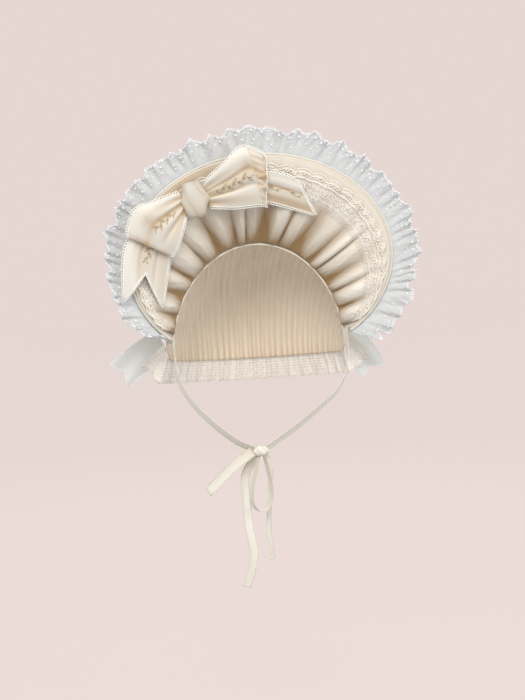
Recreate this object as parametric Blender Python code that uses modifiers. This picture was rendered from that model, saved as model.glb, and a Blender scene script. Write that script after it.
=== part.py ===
"""A lolita bonnet: puffed crown, flared brim, folded lining, lace, ruffle, satin bow and chin ties.

Metres, +Z up. The brim opens towards -Y and the origin is the middle of the head opening.
"""
import bpy
import bmesh
from collections import namedtuple
from math import atan2, cos, pi, radians, sin
from mathutils import Matrix, Vector

MM = 0.001

# Head opening: an arch in the plane Y = 0, where brim, lining and crown are sewn together
OPENING_HALF_WIDTH = 107 * MM
OPENING_RISE = 134 * MM
OPENING_DROP = 20 * MM
OPENING_SPREAD = radians(82)

# Brim's outer edge: part of an ellipse that leans forward
BRIM_HALF_WIDTH = 156 * MM
BRIM_HALF_HEIGHT = 123 * MM
BRIM_CENTRE_Z = 93 * MM
BRIM_SPREAD = radians(136)
BRIM_REACH = 56 * MM
BRIM_END_REACH = 20 * MM
BRIM_FLARE = 1.35
BRIM_WALL = 2.2 * MM

# Crown
CROWN_DEPTH = 130 * MM
CROWN_SWEEP = radians(96)
CROWN_PUFF = 0.09
CROWN_GATHER = 5.0 * MM
CROWN_GATHER_EASE = 2.6 * MM
CROWN_GATHERS = 22
CROWN_START = 1.3 * MM
CROWN_WALL = 1.2 * MM

# Lining and lace on the brim's front, as shares of the brim's width from the seam outwards
LINING_FOLDS = 16
LINING_INNER, LINING_OUTER = 0.02, 0.83
LINING_LIFT = 2.2 * MM
LINING_WALL = 1.2 * MM
LINING_FOLD = 5.0 * MM
LINING_EDGE_FOLD = 0.6 * MM
LACE_INNER, LACE_OUTER = 0.60, 0.86
LACE_SCALLOPS = 30
LACE_SCALLOP_DEPTH = 0.03
LACE_WALL = 1.0 * MM
LACE_LIFT = 1.4 * MM
LINING_ENDS = 0.03

# Frills
RUFFLE_PLEATS = 50
RUFFLE_WIDTH = 36 * MM
RUFFLE_TUCK = 5 * MM
RUFFLE_LIFT = 2.8 * MM
RUFFLE_CLEAR = 1.5 * MM
RUFFLE_WAVE = 6 * MM
RUFFLE_WALL = 1.0 * MM
NAPE_PLEATS = 20
NAPE_DROP = 23 * MM
NAPE_FLARE = 9 * MM
NAPE_CORNER = 0.12
NAPE_CORNER_FLARE = 2.2
NAPE_WAVE = 4 * MM
NAPE_GAP = 1.3 * MM

# Ribbons
SATIN_WALL = 1.2 * MM
TIE_WIDTH = 10 * MM
TIE_WALL = 1.0 * MM
STRAP_LIFT = 2.5 * MM
HEAD_MIDDLE = Vector((0, -27 * MM, 10 * MM))

Section = namedtuple("Section", "top_x top_z foot_x foot_z out")
Point = namedtuple("Point", "x y z")


def arch(u):
    """Point on the head opening, u from 0 at -X to 1 at +X."""
    turn = (2 * u - 1) * OPENING_SPREAD
    return Vector((OPENING_HALF_WIDTH * sin(turn), 0, OPENING_RISE * cos(turn) - OPENING_DROP))


def reach(u):
    """How far the brim's outer edge stands in front of the head opening."""
    return BRIM_END_REACH + (BRIM_REACH - BRIM_END_REACH) * (1 - abs(2 * u - 1) ** 3)


def brim_point(u, w):
    """Middle of the brim's wall, w from 0 at the seam to 1 at the outer edge."""
    turn = (2 * u - 1) * BRIM_SPREAD
    edge = Vector((BRIM_HALF_WIDTH * sin(turn), 0, BRIM_CENTRE_Z + BRIM_HALF_HEIGHT * cos(turn)))
    point = arch(u).lerp(edge, w)
    point.y = -reach(u) * (1 - max(0.0, 1 - w) ** BRIM_FLARE)
    return point


def on_brim(u, w, lift):
    """Point that stands off the brim's middle, towards its front."""
    step = 0.002
    along = brim_point(u + step, w) - brim_point(u - step, w)
    outward = brim_point(u, min(1, w + 0.1)) - brim_point(u, max(0, w - 0.1))
    return brim_point(u, w) + along.cross(outward).normalized() * lift


def brim_depth(x, z):
    """Y of the brim's middle seen straight from the front at x, z."""
    step = 0.001
    u, w = 0.5 + atan2(x, z - 40 * MM) / radians(230), 0.7
    for _ in range(20):
        here = brim_point(u, w)
        by_u = (brim_point(u + step, w) - here) / step
        by_w = (brim_point(u, w + step) - here) / step
        scale = by_u.x * by_w.z - by_w.x * by_u.z
        off_x, off_z = x - here.x, z - here.z
        u += (off_x * by_w.z - by_w.x * off_z) / scale
        w += (by_u.x * off_z - off_x * by_u.z) / scale
        u, w = min(max(u, -0.1), 1.1), min(max(w, -0.2), 1.6)
    return brim_point(u, w).y


def crown_point(u, v):
    """Crown's wall, v from 0 at the seam to 1 at the nape edge."""
    turn = (2 * u - 1) * OPENING_SPREAD
    sweep = v * CROWN_SWEEP
    height = CROWN_GATHER - CROWN_GATHER_EASE * sin(pi * v)
    gather = (0.5 - 0.5 * cos(2 * pi * CROWN_GATHERS * u)) * height
    puff = 1 + CROWN_PUFF * sin(pi * v)
    deep = CROWN_DEPTH * cos(turn) * puff + gather
    high = OPENING_RISE * cos(turn) * puff + gather
    side = OPENING_HALF_WIDTH * sin(turn) * (1 + 0.4 * CROWN_PUFF * sin(pi * v))
    return Vector((side, CROWN_START + deep * sin(sweep), high * cos(sweep) - OPENING_DROP))


def fold_height(w):
    """Height of the lining's folds, fullest a third of the way out from the seam."""
    return LINING_EDGE_FOLD + LINING_FOLD * sin(pi * min(1.0, w / 0.8) ** 0.7)


def lining_point(u, v):
    """Lining in rounded folds with sharp valleys."""
    w = LINING_INNER + (LINING_OUTER - LINING_INNER) * v
    lift = LINING_LIFT + fold_height(w) * abs(sin(pi * LINING_FOLDS * u)) ** 0.8
    return on_brim(LINING_ENDS + (1 - 2 * LINING_ENDS) * u, w, lift)


def lace_point(u, v):
    """Lace that lies on the crests of the lining's folds, its outer edge in scallops."""
    scallop = LACE_SCALLOP_DEPTH * abs(sin(pi * LACE_SCALLOPS * u))
    w = LACE_INNER + (LACE_OUTER + scallop - LACE_INNER) * v
    lift = LINING_LIFT + fold_height(w) + LACE_LIFT
    return on_brim(LINING_ENDS + (1 - 2 * LINING_ENDS) * u, w, lift)


def ruffle_point(u, v):
    """Pleated frill, v from 0 at its seam behind the brim's edge to 1 at its free edge."""
    free = max(0.0, 2 * v - 1)
    out = (RUFFLE_TUCK + RUFFLE_CLEAR) * min(1.0, 2 * v) - RUFFLE_TUCK
    out += (RUFFLE_WIDTH - RUFFLE_TUCK - RUFFLE_CLEAR) * free
    wave = sin(2 * pi * RUFFLE_PLEATS * u) * RUFFLE_WAVE * free
    edge = on_brim(u, 1, wave - RUFFLE_LIFT)
    outward = (brim_point(u, 1) - brim_point(u, 0.8)).normalized()
    return edge + outward * out


def nape_point(u, v):
    """Lace frill under the crown's neck edge, its ends carried up the crown's two corners."""
    side = 1 if u > 0.5 else -1
    run = abs(2 * u - 1)
    corner = max(0.0, (run - 1 + NAPE_CORNER) / NAPE_CORNER)
    along = min(1.0, run / (1 - NAPE_CORNER))
    top = crown_point(0.5 + side * along / 2, 1 - 0.85 * corner)
    top += Vector((side * NAPE_GAP * min(1.0, 5 * max(0.0, along - 0.8)), 0, -NAPE_GAP))
    away = Vector((top.x, top.y * (1 - min(1.0, corner)), 0)).normalized()
    wave = NAPE_WAVE * sin(2 * pi * NAPE_PLEATS * u)
    down = Vector((0, 0, -NAPE_DROP * v))
    return top + away * (NAPE_FLARE * (1 + NAPE_CORNER_FLARE * corner) + wave) * v + down


def blend(values, t):
    """Smooth value at t from 0 to 1 through evenly spaced values."""
    count = len(values) - 1
    place = min(max(t, 0.0), 0.9999) * count
    i = int(place)
    f = place - i
    before, a, b = values[max(i - 1, 0)], values[i], values[i + 1]
    after = values[min(i + 2, count)]
    return 0.5 * (2 * a + (b - before) * f + (2 * before - 5 * a + 4 * b - after) * f * f
                  + (3 * a - before - 3 * b + after) * f ** 3)


def notched(place, depth):
    """The same ribbon with its far end cut to a swallowtail, depth as a share of its length."""
    return lambda u, v: place(u * (1 - depth * u ** 3 * (1 - abs(2 * v - 1))), v)


def bow_ribbon(sections):
    """Wide ribbon in front of the brim, through sections in millimetres."""
    tops = [Vector((s.top_x, s.out, s.top_z)) for s in sections]
    feet = [Vector((s.foot_x, s.out, s.foot_z)) for s in sections]

    def place(u, v):
        point = blend(tops, u).lerp(blend(feet, u), v) * MM
        return Vector((point.x, brim_depth(point.x, point.z) - point.y, point.z))
    return place


def across_head(points):
    """Crosswise directions of a ribbon that lies flat on the head's sides and chin."""
    found = []
    for i, point in enumerate(points):
        ahead = points[min(i + 1, len(points) - 1)] - points[max(i - 1, 0)]
        found.append(ahead.cross(point - HEAD_MIDDLE).normalized())
    return found


def across_hanging(points):
    """Crosswise directions of a ribbon that hangs facing forward."""
    found = []
    for i, point in enumerate(points):
        ahead = points[min(i + 1, len(points) - 1)] - points[max(i - 1, 0)]
        found.append(ahead.cross(Vector((0, -1, 0))).normalized())
    return found


def flat_ribbon(points, across, width, root=1.0):
    """Ribbon through points with a crosswise direction at each, gathered to a share at its root."""
    def place(u, v):
        spread = width * (root + (1 - root) * min(1.0, u / 0.3))
        return blend(points, u) + blend(across, u).normalized() * spread * (v - 0.5)
    return place


def strap(side, points):
    """Chin strap, sewn flat inside the brim's lower corner."""
    u = 0.5 + side * 0.485
    outward = (brim_point(u, 0.5) - brim_point(u, 0.2)).normalized()
    below = brim_point(u + side * 0.012, 0.4) - Vector((side * 1.4 * STRAP_LIFT, 0, 0))
    sewn = [on_brim(u, 0.4, STRAP_LIFT), below]
    across = across_head(sewn + points)
    if across[2].dot(outward) < 0:
        outward = -outward
    across[0] = across[1] = outward
    return flat_ribbon(sewn + points, across, TIE_WIDTH)


def route(rows):
    return [Vector(row) * MM for row in rows]


def make_material(name, colour, roughness, alpha=1.0):
    material = bpy.data.materials.new(name)
    material.use_nodes = True
    shader = material.node_tree.nodes["Principled BSDF"]
    shader.inputs["Base Color"].default_value = (*colour, 1)
    shader.inputs["Roughness"].default_value = roughness
    shader.inputs["Metallic"].default_value = 0
    shader.inputs["Alpha"].default_value = alpha
    return material


def finish(piece, name, material, collection):
    piece.name = name
    piece.data.name = name
    piece.data.materials.append(material)
    for holder in list(piece.users_collection):
        holder.objects.unlink(piece)
    collection.objects.link(piece)
    piece.data.shade_smooth()
    piece.data.set_sharp_from_angle(angle=radians(50))


def cloth(name, columns, rows, place, wall, material, collection, eyelet=None):
    """Sheet of cloth: a grid laid out by place(u, v) and given its wall."""
    bpy.ops.mesh.primitive_grid_add(x_subdivisions=columns, y_subdivisions=rows, size=1)
    piece = bpy.context.object
    if eyelet:
        mesh = bmesh.new()
        mesh.from_mesh(piece.data)
        holes = [face for face in mesh.faces
                 if eyelet(*(part + 0.5 for part in face.calc_center_median()[:2]))]
        bmesh.ops.delete(mesh, geom=holes, context="FACES")
        mesh.to_mesh(piece.data)
        mesh.free()
    for vertex in piece.data.vertices:
        vertex.co = place(vertex.co.x + 0.5, vertex.co.y + 0.5)
    wall_of = piece.modifiers.new("wall", "SOLIDIFY")
    wall_of.thickness = wall
    wall_of.offset = 0
    finish(piece, name, material, collection)
    return piece


def pillow(name, centre, size, tilt, material, collection):
    """Wrapped knot: a round bundle with flat ends, its axis along X before the tilt."""
    mesh = bmesh.new()
    bmesh.ops.create_cube(mesh, size=1)
    bmesh.ops.subdivide_edges(mesh, edges=mesh.edges[:], cuts=3, use_grid_fill=True)
    for vertex in mesh.verts:
        x, y, z = vertex.co
        waist = 1 - 0.35 * (2 * x) ** 2
        round_y = y * (1 - 2 * z * z) ** 0.5 * waist
        round_z = z * (1 - 2 * y * y) ** 0.5 * waist
        vertex.co = (x * size.x, round_y * size.y, round_z * size.z)
    bmesh.ops.transform(mesh, matrix=Matrix.Rotation(-tilt, 4, "Y"), verts=mesh.verts[:])
    data = bpy.data.meshes.new(name)
    mesh.to_mesh(data)
    mesh.free()
    piece = bpy.data.objects.new(name, data)
    collection.objects.link(piece)
    piece.location = centre
    finish(piece, name, material, collection)


# Bow ribbons: the ribbon's upper and lower edge at each section, and its distance in front of the brim
LOOP_RIGHT = [
    Section(-69.5, 182.8, -61.5, 158, 19),
    Section(-46, 203, -32, 156, 26),
    Section(-23, 222, -3, 158, 25),
    Section(4, 210, 7, 157, 20),
    Section(-30, 196, -28, 163, 16),
    Section(-68.6, 179.9, -62.5, 161, 15),
]
TAIL_RIGHT = [
    Section(-67.4, 176.1, -63.7, 164.7, 12),
    Section(-26, 190, -26, 162, 12.5),
    Section(9, 195, 7, 162, 12.5),
    Section(41, 185, 64, 145, 13),
]
LOOP_LEFT = [
    Section(-96.5, 174, -88.5, 149.2, 19),
    Section(-126, 164, -94, 131, 25),
    Section(-149, 155, -100, 114, 26),
    Section(-156, 126, -107, 103, 20),
    Section(-126, 150, -98, 124, 16),
    Section(-95.6, 171, -89.5, 152, 15),
]
TAIL_LEFT = [
    Section(-94.3, 167.3, -90.6, 155.9, 12),
    Section(-140, 138, -104, 118, 12.5),
    Section(-160, 112, -109, 95, 12.5),
    Section(-164, 56, -117, 46, 13),
]
BOW_NOTCH = 0.22
BOW_KNOT_AT = Vector((-79, 0, 166)) * MM
BOW_KNOT_OUT = 17 * MM
BOW_KNOT_SIZE = Vector((27, 15, 42)) * MM
BOW_KNOT_TILT = radians(18)

# Sheer ribbon ends at the crown's lower corners, through the middle of the ribbon
SHEER_WIDTH = 36 * MM
SHEER_LEFT = [Point(-112.4, 27, -3), Point(-126, 28, -9), Point(-147, 28, -22), Point(-168, 28, -38)]
SHEER_RIGHT = [Point(115.2, 27, -3), Point(124, 28, -14), Point(137, 28, -32), Point(146, 28, -50)]
SHEER_ROOT = 0.4
SHEER_NOTCH = 0.14

# Chin ties, through the middle of the ribbon
STRAP_LEFT = [Point(-104, -24, -36), Point(-92, -46, -66), Point(-70, -70, -92),
              Point(-46, -84, -112), Point(-27.8, -91.5, -121)]
STRAP_RIGHT = [Point(102, -24, -36), Point(84, -48, -62), Point(58, -68, -79),
               Point(28, -82, -98), Point(-12.2, -91.5, -121)]
LOOP_SIDE = [Point(-30, -98.5, -123), Point(-52, -103, -137), Point(-80, -103, -162),
             Point(-83, -100, -165), Point(-80, -97, -162), Point(-52, -96, -137),
             Point(-30, -95.5, -123)]
LOOP_FRONT = [Point(-16, -97, -130), Point(-11, -100, -160), Point(-12, -102, -180),
              Point(-22, -102, -192), Point(-32, -102, -184), Point(-33, -101, -166),
              Point(-23, -97, -130)]
TIE_TAIL_LEFT = [Point(-24.5, -90.5, -127.6), Point(-38, -88, -151), Point(-38, -88, -181),
                 Point(-36, -88, -212), Point(-32, -88, -246), Point(-42, -88, -280)]
TIE_TAIL_RIGHT = [Point(-15.2, -90.5, -127.6), Point(-8, -87, -145), Point(-11, -87, -180),
                  Point(-13, -87, -215), Point(-11, -87, -235), Point(-10, -87, -250)]
TIE_KNOT_AT = Vector((-20, -94, -123)) * MM
TIE_KNOT_SIZE = Vector((14, 10, 14)) * MM
LOOP_SIDE_ACROSS = Vector((-0.57, 0, 0.82))
LOOP_FRONT_ACROSS = Vector((0.3, -1, 0))


def build():
    for old in list(bpy.data.objects):
        bpy.data.objects.remove(old)
    bonnet = bpy.data.collections.new("bonnet")
    bpy.context.scene.collection.children.link(bonnet)

    cotton = make_material("brim_cotton", (0.72, 0.66, 0.52), 0.8)
    satin = make_material("ivory_satin", (0.78, 0.71, 0.58), 0.35)
    lace = make_material("ivory_lace", (0.87, 0.80, 0.72), 0.75)
    organza = make_material("white_organza", (0.60, 0.62, 0.62), 0.5, 0.6)
    ribbon = make_material("cream_ribbon", (0.85, 0.80, 0.70), 0.4)
    tie_satin = make_material("tie_satin", (0.84, 0.79, 0.70), 0.45)

    cloth("crown", 2 * CROWN_GATHERS, 9, crown_point, CROWN_WALL, cotton, bonnet)
    cloth("brim", 40, 5, brim_point, BRIM_WALL, cotton, bonnet)
    cloth("lining", 4 * LINING_FOLDS, 6, lining_point, LINING_WALL, satin, bonnet)
    cloth("lace_trim", 3 * LACE_SCALLOPS, 4, lace_point, LACE_WALL, lace, bonnet,
          lambda u, v: 0.5 < v < 0.75 and int(u * 3 * LACE_SCALLOPS) % 3 == 1)
    cloth("outer_ruffle", 3 * RUFFLE_PLEATS, 2, ruffle_point, RUFFLE_WALL, organza, bonnet)
    cloth("nape_lace", 3 * NAPE_PLEATS, 2, nape_point, LACE_WALL, lace, bonnet)

    cloth("bow_loop_right", 20, 3, bow_ribbon(LOOP_RIGHT), SATIN_WALL, ribbon, bonnet)
    cloth("bow_loop_left", 20, 3, bow_ribbon(LOOP_LEFT), SATIN_WALL, ribbon, bonnet)
    cloth("bow_tail_right", 9, 3, bow_ribbon(TAIL_RIGHT), SATIN_WALL, ribbon, bonnet)
    cloth("bow_tail_left", 9, 4, notched(bow_ribbon(TAIL_LEFT), BOW_NOTCH), SATIN_WALL, ribbon, bonnet)
    knot_at = BOW_KNOT_AT.copy()
    knot_at.y = brim_depth(knot_at.x, knot_at.z) - BOW_KNOT_OUT
    pillow("bow_knot", knot_at, BOW_KNOT_SIZE, BOW_KNOT_TILT, ribbon, bonnet)

    for side, points in (("left", SHEER_LEFT), ("right", SHEER_RIGHT)):
        place = flat_ribbon(route(points), across_hanging(route(points)), SHEER_WIDTH, SHEER_ROOT)
        cloth("sheer_tail_" + side, 6, 4, notched(place, SHEER_NOTCH), LACE_WALL, organza, bonnet)
    cloth("tie_left", 20, 1, strap(-1, route(STRAP_LEFT)), TIE_WALL, tie_satin, bonnet)
    cloth("tie_right", 20, 1, strap(1, route(STRAP_RIGHT)), TIE_WALL, tie_satin, bonnet)
    for name, points, across in (("tie_loop_left", LOOP_SIDE, LOOP_SIDE_ACROSS),
                                 ("tie_loop_front", LOOP_FRONT, LOOP_FRONT_ACROSS)):
        place = flat_ribbon(route(points), [across] * len(points), TIE_WIDTH)
        cloth(name, 18, 1, place, TIE_WALL, tie_satin, bonnet)
    for name, points in (("tie_tail_left", TIE_TAIL_LEFT), ("tie_tail_right", TIE_TAIL_RIGHT)):
        place = flat_ribbon(route(points), across_hanging(route(points)), TIE_WIDTH)
        cloth(name, 16, 1, place, TIE_WALL, tie_satin, bonnet)
    pillow("tie_knot", TIE_KNOT_AT, TIE_KNOT_SIZE, 0, tie_satin, bonnet)


build()
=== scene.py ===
import random
from collections import namedtuple
from math import atan2, cos, exp, pi, radians, sin

import bmesh
import bpy
from mathutils import Matrix, Vector


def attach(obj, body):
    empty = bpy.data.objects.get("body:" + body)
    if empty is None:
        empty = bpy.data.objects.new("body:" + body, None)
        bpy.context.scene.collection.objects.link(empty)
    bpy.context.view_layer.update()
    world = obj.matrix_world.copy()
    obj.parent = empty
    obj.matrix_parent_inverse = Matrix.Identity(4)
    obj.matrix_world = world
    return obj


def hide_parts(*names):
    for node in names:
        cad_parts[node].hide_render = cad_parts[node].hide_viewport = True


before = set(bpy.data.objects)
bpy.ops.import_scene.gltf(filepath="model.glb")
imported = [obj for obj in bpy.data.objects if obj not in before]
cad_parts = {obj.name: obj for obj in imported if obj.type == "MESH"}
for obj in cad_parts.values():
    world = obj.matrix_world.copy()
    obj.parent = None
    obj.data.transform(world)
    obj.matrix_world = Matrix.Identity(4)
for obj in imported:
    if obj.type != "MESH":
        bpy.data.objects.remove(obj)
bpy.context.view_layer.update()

MM = 0.001
STEP = 0.002  # share of a cloth's length over which its direction is measured
BODY = "root"

# Opening: an arch in the plane Y = 0, where brim, lining and crown are sewn together
OPENING_HALF_WIDTH = 107 * MM
OPENING_RISE = 134 * MM
OPENING_DROP = 20 * MM
OPENING_SPREAD = radians(82)

# Brim's outer edge: part of an ellipse that leans forward
BRIM_HALF_WIDTH = 156 * MM
BRIM_HALF_HEIGHT = 123 * MM
BRIM_CENTRE_Z = 93 * MM
BRIM_SPREAD = radians(136)
BRIM_REACH = 56 * MM
BRIM_END_REACH = 20 * MM
BRIM_FLARE = 1.35
BRIM_WALL = 2.2 * MM

# Crown
CROWN_DEPTH = 130 * MM
CROWN_SWEEP = radians(96)
CROWN_PUFF = 0.09
CROWN_GATHER = 5.0 * MM
CROWN_GATHERS = 22
CROWN_START = 1.3 * MM
CROWN_WALL = 1.0 * MM

# Lining and lace on the brim's front, as shares of the brim's width from the seam outwards
LINING_FOLDS = 16
LINING_INNER, LINING_OUTER = 0.02, 0.83
LINING_LIFT = 1.9 * MM
LINING_WALL = 0.5 * MM
LINING_FOLD = 6.6 * MM
LINING_EDGE_FOLD = 0.5 * MM
LINING_ENDS = 0.03
LACE_INNER, LACE_OUTER = 0.56, 0.87
LACE_SCALLOPS = 30
LACE_SCALLOP_DEPTH = 0.035
LACE_LIFT = 0.8 * MM

# Frills
RUFFLE_PLEATS = 50
RUFFLE_WIDTH = 36 * MM
RUFFLE_TUCK = 5 * MM
RUFFLE_TUCK_SHARE = 0.16
RUFFLE_LIFT = 2.8 * MM
RUFFLE_CLEAR = 1.5 * MM
RUFFLE_WAVE = 6 * MM
NAPE_PLEATS = 20
NAPE_DROP = 23 * MM
NAPE_FLARE = 9 * MM
NAPE_CORNER = 0.12
NAPE_CORNER_FLARE = 2.2
NAPE_WAVE = 4 * MM
NAPE_GAP = 1.3 * MM
NAPE_LAP, NAPE_LAP_OUT = 3.2 * MM, 1.3 * MM

# Ribbons
TIE_WIDTH = 10 * MM
STRAP_LIFT = 2.5 * MM
STRAP_MIDDLE = Vector((0, 30 * MM, 10 * MM))

FRONT = Vector((0, -1, 0))

Section = namedtuple("Section", "top_x top_z foot_x foot_z out")
Crease = namedtuple("Crease", "middle width height")
Picot = namedtuple("Picot", "spacing radius thread")

# Thread loops along the edges of ruffle, nape frill and bow
RUFFLE_PICOT = Picot(3.4 * MM, 1.25 * MM, 0.5 * MM)
NAPE_PICOT = Picot(3.2 * MM, 1.3 * MM, 0.4 * MM)
BOW_PICOT = Picot(3.4 * MM, 1.7 * MM, 0.62 * MM)

# Flat sizes of the cloths, width and length in metres
BRIM_SIZE, BAND_SIZE = (0.085, 0.53), (0.012, 0.765)
CROWN_SIZE, BINDING_SIZE = (0.21, 0.31), (0.010, 0.68)
LINING_SIZE, LACE_SIZE = (0.065, 0.58), (0.020, 0.89)
RUFFLE_SIZE, NAPE_SIZE = (0.034, 0.82), (0.025, 0.64)
BOW_WIDTH, SHEER_FLAT_WIDTH = 0.045, 0.034


# The bonnet's own surfaces

def arch(u):
    """Point on the opening, u from 0 at -X to 1 at +X."""
    turn = (2 * u - 1) * OPENING_SPREAD
    return Vector((OPENING_HALF_WIDTH * sin(turn), 0, OPENING_RISE * cos(turn) - OPENING_DROP))


def reach(u):
    """How far the brim's outer edge stands in front of the opening."""
    return BRIM_END_REACH + (BRIM_REACH - BRIM_END_REACH) * (1 - abs(2 * u - 1) ** 3)


def brim_point(u, w):
    """Middle of the brim's wall, w from 0 at the seam to 1 at the outer edge."""
    turn = (2 * u - 1) * BRIM_SPREAD
    edge = Vector((BRIM_HALF_WIDTH * sin(turn), 0, BRIM_CENTRE_Z + BRIM_HALF_HEIGHT * cos(turn)))
    point = arch(u).lerp(edge, w)
    point.y = -reach(u) * (1 - max(0.0, 1 - w) ** BRIM_FLARE)
    return point


def on_brim(u, w, lift):
    """Point that stands off the brim's middle, towards its front."""
    along = brim_point(u + STEP, w) - brim_point(u - STEP, w)
    outward = brim_point(u, min(1, w + 0.1)) - brim_point(u, max(0, w - 0.1))
    return brim_point(u, w) + along.cross(outward).normalized() * lift


def brim_depth(x, z):
    """Y of the brim's middle seen straight from the front at x, z, found by Newton's steps."""
    step = 0.001
    u, w = 0.5 + atan2(x, z - 40 * MM) / radians(230), 0.7
    for _ in range(12):
        here = brim_point(u, w)
        by_u = (brim_point(u + step, w) - here) / step
        by_w = (brim_point(u, w + step) - here) / step
        scale = by_u.x * by_w.z - by_w.x * by_u.z
        off_x, off_z = x - here.x, z - here.z
        u += (off_x * by_w.z - by_w.x * off_z) / scale
        w += (by_u.x * off_z - off_x * by_u.z) / scale
        u, w = min(max(u, -0.1), 1.1), min(max(w, -0.2), 1.6)
    return brim_point(u, w).y


class Gathers:
    """Uneven folds along a seam: where each starts, and how high, long and slanted it is."""

    def __init__(self, count, seed, uneven):
        draw = random.Random(seed)
        widths = [1 + draw.uniform(-uneven, uneven) for _ in range(count)]
        total = sum(widths)
        self.starts = [0.0]
        for width in widths:
            self.starts.append(self.starts[-1] + width / total)
        self.count = count
        self.height = [1 + draw.uniform(-uneven, uneven) for _ in range(count + 1)]
        self.length = [draw.uniform(-1, 1) for _ in range(count + 1)]
        self.slant = [draw.uniform(-1, 1) for _ in range(count + 1)]

    def at(self, u):
        """Number of the fold at u, and the place inside it from 0 to 1."""
        u = min(max(u, 0.0), 0.999999)
        low = int(u * self.count)
        while self.starts[low] > u:
            low -= 1
        while self.starts[low + 1] <= u:
            low += 1
        return low, (u - self.starts[low]) / (self.starts[low + 1] - self.starts[low])

    def mix(self, values, low, place):
        """Value between two neighbouring folds' own, eased."""
        ease = place * place * (3 - 2 * place)
        return values[low] + (values[low + 1] - values[low]) * ease


def rise(value, start, end):
    """Eased step from 0 to 1 between two values."""
    share = min(max((value - start) / (end - start), 0.0), 1.0)
    return share * share * (3 - 2 * share)


def ripple(u, v, seed, strength):
    """Small soft creases that no two places share."""
    a = sin(2 * pi * (u * 31.7 + seed) + 4.1 * v) * sin(2 * pi * (v * 1.9 + seed * 0.37) + u * 23)
    b = sin(2 * pi * (u * 67.3 - seed) - 3.3 * v) * sin(2 * pi * (v * 3.1 + seed * 0.71) - u * 41)
    return strength * (a + 0.5 * b)


crown_gathers = Gathers(CROWN_GATHERS * 2, 11, 0.35)
lining_folds = Gathers(LINING_FOLDS, 5, 0.36)
lining_pinches = Gathers(LINING_FOLDS * 4, 17, 0.4)
ruffle_pleats = Gathers(RUFFLE_PLEATS, 23, 0.5)
nape_pleats = Gathers(NAPE_PLEATS, 31, 0.25)


def crown_point(u, v):
    """Crown's wall, v from 0 at the seam to 1 at the nape edge."""
    turn = (2 * u - 1) * OPENING_SPREAD
    sweep = v * CROWN_SWEEP
    low, place = crown_gathers.at(u)
    pinch = abs(sin(pi * place)) ** 0.7
    seam = exp(-v * 5) + exp(-(1 - v) * 6)
    height = CROWN_GATHER * 0.10 + CROWN_GATHER * 0.75 * seam
    height *= crown_gathers.mix(crown_gathers.height, low, place)
    gather = pinch * height + CROWN_GATHER * 0.35 * sin(pi * v) + ripple(u, v, 0.3, 1.3 * MM) * sin(pi * v)
    gather *= min(1.0, v * 14)
    puff = 1 + CROWN_PUFF * sin(pi * v)
    deep = CROWN_DEPTH * cos(turn) * puff + gather
    high = OPENING_RISE * cos(turn) * puff + gather
    side = (OPENING_HALF_WIDTH * sin(turn)) * (1 + 0.4 * CROWN_PUFF * sin(pi * v))
    return Vector((side, CROWN_START + deep * sin(sweep), high * cos(sweep) - OPENING_DROP))


def crown_painted_shade(u, v):
    """Painted shade in the crown's gathers, 0 on a ridge and 1 in a crease."""
    low, place = crown_gathers.at(u)
    return min(1.0, (1 - abs(sin(pi * place)) ** 0.5) * (0.15 + exp(-v * 5) + exp(-(1 - v) * 6)))


def fold_height(w):
    """Height of the lining's folds, fullest a third of the way out from the seam."""
    return LINING_EDGE_FOLD + LINING_FOLD * sin(pi * min(1.0, w / 0.85) ** 0.7)


def fold_profile(u, w):
    """Billow of the lining across its folds, 0 in a valley and about 1 on a crest."""
    drift = 0.012 * sin(9 * u) * w
    low, place = lining_folds.at(min(max(u + drift, 0.0), 1.0))
    slant = lining_folds.slant[low] * 0.95
    crest = abs(sin(pi * place ** (2 ** slant))) ** (0.75 + 1.1 * w)
    pinch_low, pinch_place = lining_pinches.at(u)
    pinch = abs(sin(pi * pinch_place)) * lining_pinches.height[pinch_low] * 0.22 * exp(-w * 9)
    across = 1.6 * place + 2.3 * slant + 0.7 * w
    wrinkle = 0.15 * (1 - abs(sin(pi * across))) ** 2.5 * exp(-((w - 0.36) / 0.26) ** 2) * sin(pi * place)
    shallow = lining_folds.mix(lining_folds.length, low, place)
    floor = 0.62 * max(0.0, shallow) * min(1.0, 0.35 + w)
    return (floor + (1 - floor) * crest) * lining_folds.height[low] + pinch + wrinkle


def lining_lift(u, w):
    """How far the lining stands off the middle of the brim's wall."""
    return LINING_LIFT + fold_height(w) * fold_profile(u, w) + ripple(u, w * 2, 0.1, 0.32 * MM)


def on_lining(u, w, lift):
    """Point off the brim's front between the lining's two ends."""
    return on_brim(LINING_ENDS + (1 - 2 * LINING_ENDS) * u, w, lift)


def lining_place(u, v):
    """Lining in billowed folds with sharp valleys."""
    w = LINING_INNER + (LINING_OUTER - LINING_INNER) * v
    return on_lining(u, w, lining_lift(u, w))


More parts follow.
